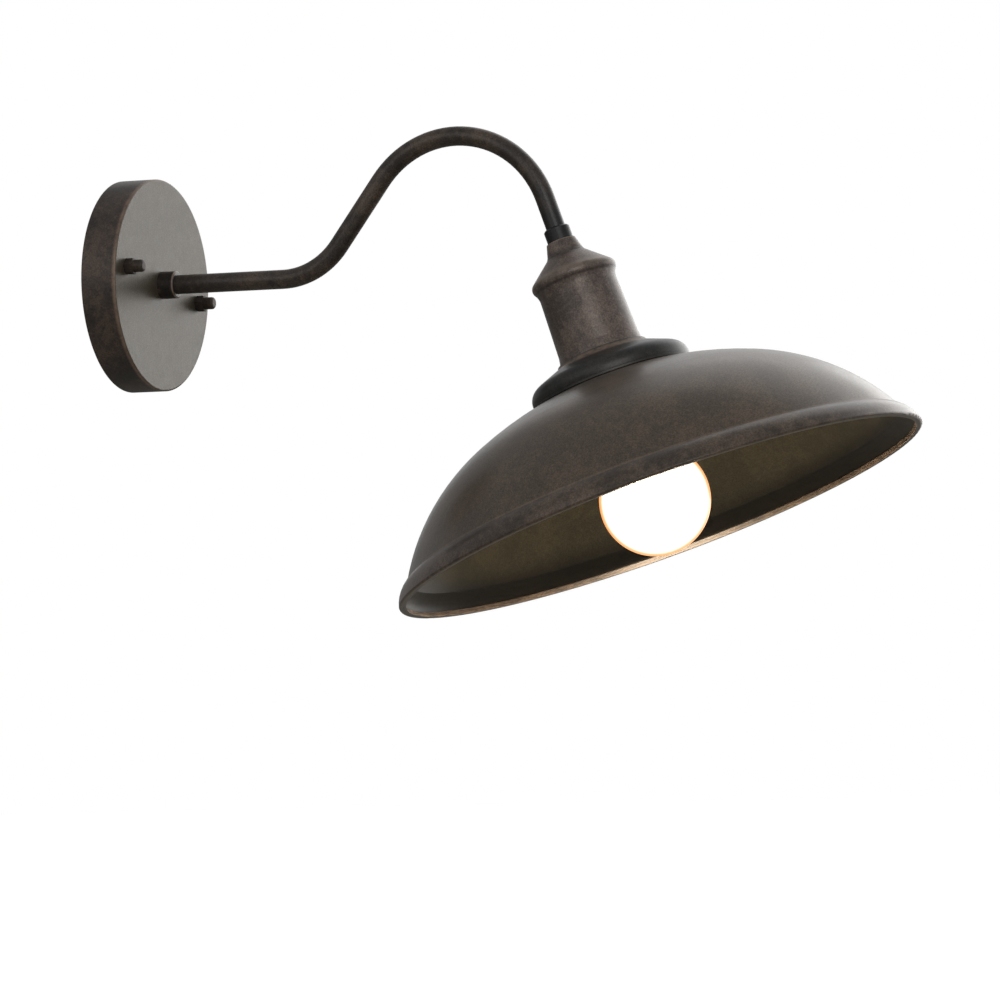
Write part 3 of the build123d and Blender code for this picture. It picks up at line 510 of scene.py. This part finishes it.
# The darkened ring at each nut's foot is painted shade from the canopy face.
nut_bronze = bronze("dark_bronze", shade_and_dark_rings=[(stud_place, 0.0205, 0.0085)],
                    dark=(0.040, 0.030, 0.024, 1), warm=(0.105, 0.074, 0.052, 1), gloss=0.46, coat=0.05)
dress(nut_bronze, "cap_nuts")

# ---------------------------------------------------------------- arm root
# The collar seats the tube on the canopy. Behind, a hollow threaded nipple, a toothed washer and
# a hex nut pull it tight; all three are plated steel.
collar_edge = (0.0073, 0.0302, 0.0008)
root_bronze = bronze("base_collar_bronze", edges=[collar_edge], dark=(0.026, 0.023, 0.021, 1))
dress(root_bronze, "base_collar")
dress(zinc, "root_washer", "root_locknut")


def nipple(name, node, place, low, high):
    """A hollow threaded tube between two heights, which stands for its plain CAD node."""
    outer, root, bore, pitch = 0.0049, 0.00447, 0.0037, 0.00094
    built = bmesh.new()
    turned(built, [(bore, low), (root, low), (root, high), (bore, high)])
    ridged(built, vee_section(root, outer, pitch), pitch, (high - low) / pitch - 1.2, 40, low + 0.0001)
    piece = finish_piece(name, built, place, zinc)
    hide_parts(node)


root_nipple_back, root_nipple_front = 0.0134, 0.0242
nipple("root_nipple_threaded", "root_nipple", wall_side, root_nipple_back, root_nipple_front)

# ---------------------------------------------------------------- arm
# One steel tube bent cold into the gooseneck and sprayed with the rest. A dark collar ends it, and
# a second nipple runs from the collar through the cup's roof, where a hex nut holds the cup.
head_origin, head_turn = Vector((0, -0.26155, 0.020497)), -20
head_side = Matrix.Translation(head_origin) @ Matrix.Rotation(radians(head_turn), 4, "X")
lower_end = (0.0, 0.004, 0.030)
# The tube is darkened towards its lower end, just above the collar.
arm_bronze = bronze("arm_bronze", head_origin, head_turn, shade_and_dark_rings=[lower_end],
                    dark=(0.036, 0.030, 0.026, 1), warm=(0.110, 0.080, 0.060, 1), sponging=0.85)
dress(arm_bronze, "arm_tube")
collar_black = bronze("arm_collar_bronze", head_origin, head_turn,
                      dark=(0.010, 0.011, 0.014, 1), warm=(0.028, 0.025, 0.026, 1), coat=0.1)
dress(collar_black, "arm_collar")
neck_nipple_bottom, neck_nipple_top = -0.0484, -0.0064
nipple("neck_nipple_threaded", "neck_nipple", head_side, neck_nipple_bottom, neck_nipple_top)
dress(zinc, "neck_locknut")

# ---------------------------------------------------------------- leads
# A black and a white lead run inside the arm; each ends in an orange twist-on connector behind
# the canopy. The insulation is soft plastic, the connectors are moulded.
satin_plastic, given, made = new_group(
    "satin_plastic",
    [("Vector", VECTOR, None), ("Body", COLOUR, (0.1, 0.1, 0.1, 1)), ("Dust", COLOUR, (0.3, 0.3, 0.3, 1))],
    [("Color", COLOUR), ("Roughness", NUMBER), ("Height", NUMBER)],
)
film = noise(satin_plastic, given.outputs["Vector"], 220, 4, 0.6)
pores = noise(satin_plastic, given.outputs["Vector"], 3200, 2)
dusty = span(satin_plastic, film, 0.42, 0.80, 0.0, 0.35)
tone = mixed(satin_plastic, dusty, given.outputs["Body"], given.outputs["Dust"])
rough = maths(satin_plastic, "MULTIPLY_ADD", film, 0.22, 0.32)
satin_plastic.links.new(tone, made.inputs["Color"])
satin_plastic.links.new(rough, made.inputs["Roughness"])
satin_plastic.links.new(pores, made.inputs["Height"])


def plastic(name, body, dust):
    """A moulded plastic material."""
    material, tree, shader, place = new_material(name)
    put_group(tree, satin_plastic, place, shader, 0.08, Body=body, Dust=dust)
    return material


dress(plastic("black_insulation", (0.02, 0.02, 0.02, 1), (0.10, 0.10, 0.10, 1)), "live_lead")
dress(plastic("white_insulation", (0.72, 0.71, 0.66, 1), (0.55, 0.53, 0.48, 1)), "neutral_lead")
dress(plastic("orange_connector", (0.72, 0.20, 0.03, 1), (0.55, 0.22, 0.08, 1)), "wire_connectors")

# ---------------------------------------------------------------- socket cup and flange
# The cup is spun in one piece, from neck to mouth, and hides the socket. It stands on the stepped
# flange that rests on the dome; both have the same bronze, worn at the bead and along the steps,
# with painted shade in the crease under the bead and along the seam where the cup meets the flange,
# and darker where the neck meets the shoulder.
bead, neck_top = (0.0229, -0.0262, 0.0050), (0.0083, -0.0079, 0.0010)
under_bead, neck_foot = (0.0234, -0.0322, 0.0013), (0.0108, -0.0165, 0.0050)
# under_bead is painted shade in the crease; neck_foot darkens the foot of the neck.
cup_bronze = bronze("cup_bronze", head_origin, head_turn, [bead, neck_top], [under_bead, neck_foot], 0.55,
                    dark=(0.088, 0.070, 0.060, 1), warm=(0.215, 0.165, 0.140, 1),
                    rubbed=(0.24, 0.190, 0.155, 1), sponging=0.75, coat=0.18)
dress(cup_bronze, "socket_cup")
upper_step, cup_joint = (0.0285, -0.0772, 0.0060), (0.0250, -0.0752, 0.0010)
# cup_joint is painted shade along the seam under the cup.
flange_bronze = bronze("flange_bronze", head_origin, head_turn, [upper_step], [cup_joint],
                       dark=(0.018, 0.020, 0.020, 1), warm=(0.052, 0.046, 0.040, 1),
                       rubbed=(0.32, 0.24, 0.185, 1), coat=0.15)
dress(flange_bronze, "fitter_flange")

# ---------------------------------------------------------------- lamp socket
# A moulded black socket hangs from the nipple inside the cup: a domed cap, a block with two brass
# terminals, a threaded skirt, and the brass leaf contact and pressed shell that take the bulb.
phenolic = plastic("phenolic", (0.022, 0.019, 0.017, 1), (0.09, 0.08, 0.07, 1))
dress(phenolic, "socket_cap", "socket_body")
dress(brass, "terminal_plates", "terminal_screws", "contact_tongue")

skirt_radius, skirt_crest, skirt_pitch = 0.01915, 0.01985, 0.0026
skirt_turns, skirt_start = 1.4, -0.1052
skirt = bmesh.new()
ridged(skirt, [(skirt_radius, 0), (skirt_crest, 0.35 * skirt_pitch), (skirt_crest, 0.55 * skirt_pitch),
               (skirt_radius, 0.9 * skirt_pitch)], skirt_pitch, skirt_turns, 72, skirt_start)
finish_piece("skirt_thread", skirt, head_side, phenolic)

bulb_pitch = 0.003629


def waved_sleeve(built, root, crest, low, high):
    """Adds a sleeve whose wall is a rounded bulb thread, cut level at both ends."""
    wave = ((0.0, 0.0), (0.12, 0.15), (0.25, 0.5), (0.38, 0.85),
            (0.5, 1.0), (0.62, 0.85), (0.75, 0.5), (0.88, 0.15))
    turns = int((high - low) / bulb_pitch) + 3
    start = low - 1.5 * bulb_pitch
    chain = [built.verts.new((root + share * (crest - root), 0, start + (turn + along) * bulb_pitch))
             for turn in range(turns) for along, share in wave]
    links = [built.edges.new(pair) for pair in zip(chain, chain[1:])]
    bmesh.ops.spin(built, geom=chain + links, cent=(0, 0, 0), axis=(0, 0, 1),
                   dvec=(0, 0, bulb_pitch / 64), angle=2 * pi, steps=64)
    bmesh.ops.remove_doubles(built, verts=built.verts[:], dist=2e-6)
    for height, way in ((low, -1), (high, 1)):
        everything = built.verts[:] + built.edges[:] + built.faces[:]
        bmesh.ops.bisect_plane(built, geom=everything, dist=1e-7, plane_co=(0, 0, height),
                               plane_no=(0, 0, way), clear_outer=True)
    bmesh.ops.recalc_face_normals(built, faces=built.faces[:])
    level = Vector((1, 1, 0))
    outward = sum(face.normal.dot(face.calc_center_median() * level) for face in built.faces)
    if outward < 0:
        bmesh.ops.reverse_faces(built, faces=built.faces[:])


def with_wall(piece):
    """Gives a thin sheet piece its wall, inwards."""
    wall = piece.modifiers.new("wall", "SOLIDIFY")
    wall.thickness = 0.0003
    wall.offset = -1
    wall.use_even_offset = True


shell_root, shell_crest, shell_mouth, shell_top = 0.01318, 0.01366, -0.1034, -0.0784
shell = bmesh.new()
waved_sleeve(shell, shell_root, shell_crest, shell_mouth, shell_top)
socket_shell = finish_piece("socket_shell_threaded", shell, head_side, brass, sharp=60)
with_wall(socket_shell)
roof_hole, roof_radius, roof_under, roof_over = 0.0084, 0.0136, -0.0787, -0.0782
roof = bmesh.new()
turned(roof, [(roof_hole, roof_under), (roof_radius, roof_under), (roof_radius, roof_over),
              (roof_hole, roof_over)])
finish_piece("socket_shell_roof", roof, head_side, brass)
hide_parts("screw_shell")

# ---------------------------------------------------------------- shade
# The dome is spun from thin steel, flared at the rim and curled back into a hem. It is the same
# bronze, sponged more softly, with a painted highlight line in the crease at the flare, worn lines
# at the hem and its lip, a duller inside, and painted shadow in the groove above the hem.
# The flare line is a painted highlight in the crease; the hem and lip lines are wear.
flare_highlight = (0.1427, -0.1586, 0.0012)
hem_edge, lip_edge = (0.1500, -0.1714, 0.0012), (0.1475, -0.1712, 0.0010)
hem_top, groove_start, groove_full = -0.1690, 0.1350, 0.1430
flare_start, flare_full = 0.1420, 0.1440
dome_coat = 0.2
dome_bronze, tree, shader, place = new_material(
    "dome_bronze", Metallic=0.2, Coat_Weight=dome_coat, Coat_Roughness=0.2)
in_head = axis_place(tree, place, head_origin, head_turn)
edges = rings(tree, in_head, [flare_highlight, hem_edge, lip_edge])
parts = add_node(tree, "ShaderNodeSeparateXYZ")
tree.links.new(in_head, parts.inputs[0])
across = length_of(tree, parts.outputs[0], parts.outputs[1])
upward = add_node(tree, "ShaderNodeVectorMath", operation="DOT_PRODUCT")
upward.inputs[1].default_value = (0, -sin(radians(head_turn)), cos(radians(head_turn)))
tree.links.new(place.node.outputs["Normal"], upward.inputs[0])
above_hem = span(tree, parts.outputs[2], hem_top, hem_top + 0.0008)
inside = maths(tree, "MULTIPLY", span(tree, upward.outputs["Value"], 0.02, -0.10), above_hem)
outside = maths(tree, "SUBTRACT", 1.0, inside)
tree.links.new(maths(tree, "MULTIPLY", outside, dome_coat), shader.inputs["Coat Weight"])
# Painted shadow: the groove between the hem and the dome's inside goes near black.
painted_groove_shadow = maths(tree, "MULTIPLY", inside, span(tree, across, groove_start, groove_full))
flare = maths(tree, "MULTIPLY", outside, span(tree, across, flare_start, flare_full))
dark = mixed(tree, flare, (0.094, 0.074, 0.057, 1), (0.062, 0.048, 0.038, 1))
dark = mixed(tree, inside, dark, (0.028, 0.025, 0.0165, 1))
dark = mixed(tree, painted_groove_shadow, dark, (0.008, 0.007, 0.005, 1))
warm = mixed(tree, flare, (0.152, 0.112, 0.080, 1), (0.165, 0.120, 0.090, 1))
warm = mixed(tree, inside, warm, (0.046, 0.039, 0.026, 1))
warm = mixed(tree, painted_groove_shadow, warm, (0.012, 0.010, 0.007, 1))
put_group(tree, rubbed_bronze, place, shader, 0.10, 0.0003, Dark=dark, Warm=warm,
          Rubbed=(0.22, 0.17, 0.13, 1), Edge=edges, Sponging=0.7, Gloss=0.27)
dress(dome_bronze, "shade")

# ---------------------------------------------------------------- shade ring
# A ring with finger grips turns up the socket's skirt and clamps the dome from inside. It is
# moulded from the same black plastic as the socket.
dress(phenolic, "shade_ring")

# ---------------------------------------------------------------- bulb
# A frosted glass globe, lit, on an aluminium screw base with a glass button and a soldered tip.
# The base is pressed from thin sheet with the same rounded thread as the shell it turns in.
aluminium = metal("aluminium", (0.78, 0.77, 0.75, 1), (0.55, 0.54, 0.52, 1), 0.5, 1.4)
dress(metal("solder", (0.55, 0.55, 0.54, 1), (0.36, 0.36, 0.37, 1), 0.8, 2.0), "bulb_contact")
dress(plastic("glass_button", (0.012, 0.012, 0.016, 1), (0.05, 0.05, 0.05, 1)), "bulb_insulator")

base_root, base_crest, base_bottom, base_top = 0.01225, 0.01288, -0.1052, -0.0886
base = bmesh.new()
waved_sleeve(base, base_root, base_crest, base_bottom, base_top)
bulb_base = finish_piece("bulb_base_threaded", base, head_side, aluminium, "bulb", 60)
with_wall(bulb_base)
crimp_foot, crimp_top, crimp_wall = -0.0887, -0.0846, 0.0004
crimp_outer, crimp_inner = 0.0090, 0.00858
crimp = bmesh.new()
turned(crimp, [(base_root, crimp_foot), (crimp_outer, crimp_top), (crimp_inner, crimp_top),
               (crimp_inner, crimp_top - crimp_wall), (base_root - crimp_wall, crimp_foot - 0.0003)])
finish_piece("bulb_base_crimp", crimp, head_side, aluminium, "bulb")
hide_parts("bulb_shell")

# The globe gives off warm light. The camera sees it dimmer than the object does, a plain white
# with an amber limb, as a lit frosted globe looks.
globe_low, globe_high = -0.150, -0.108
lit_glass, tree, shader, place = new_material(
    "lit_glass", Base_Color=(0.95, 0.92, 0.86, 1), Roughness=0.35, Emission_Strength=24.0)
parts = add_node(tree, "ShaderNodeSeparateXYZ")
tree.links.new(axis_place(tree, place, head_origin, head_turn), parts.inputs[0])
upper = span(tree, parts.outputs[2], globe_low, globe_high)
frost = noise(tree, place, 900, 3)
frosting = mixed(tree, frost, (0.6, 0.6, 0.6, 1), (1, 1, 1, 1))
glow = mixed(tree, upper, (1.0, 0.86, 0.66, 1), (1.0, 0.62, 0.30, 1))
glow = mixed(tree, 0.08, glow, frosting, "MULTIPLY")
facing = add_node(tree, "ShaderNodeLayerWeight", Blend=0.5)
limb = span(tree, facing.outputs["Facing"], 0.55, 0.80)
seen_glow = mixed(tree, limb, (0.070, 0.066, 0.060, 1), (0.046, 0.018, 0.005, 1))
rays = add_node(tree, "ShaderNodeLightPath")
glow = mixed(tree, rays.outputs["Is Camera Ray"], glow, seen_glow)
tree.links.new(glow, shader.inputs["Emission Color"])
relief = add_node(tree, "ShaderNodeBump", Strength=0.05, Distance=0.0002)
tree.links.new(frost, relief.inputs["Height"])
tree.links.new(relief.outputs["Normal"], shader.inputs["Normal"])
dress(lit_glass, "bulb_globe")

stem_glass, tree, shader, place = new_material(
    "stem_glass", Base_Color=(0.9, 0.93, 0.92, 1), Roughness=0.1, Transmission_Weight=0.8, IOR=1.5)
relief = add_node(tree, "ShaderNodeBump", Strength=0.05, Distance=0.0002)
tree.links.new(noise(tree, place, 700, 2), relief.inputs["Height"])
tree.links.new(relief.outputs["Normal"], shader.inputs["Normal"])
dress(stem_glass, "bulb_stem")
dress(metal("tungsten", (0.45, 0.44, 0.42, 1), (0.25, 0.24, 0.24, 1), 0.5, 3.0), "filament")
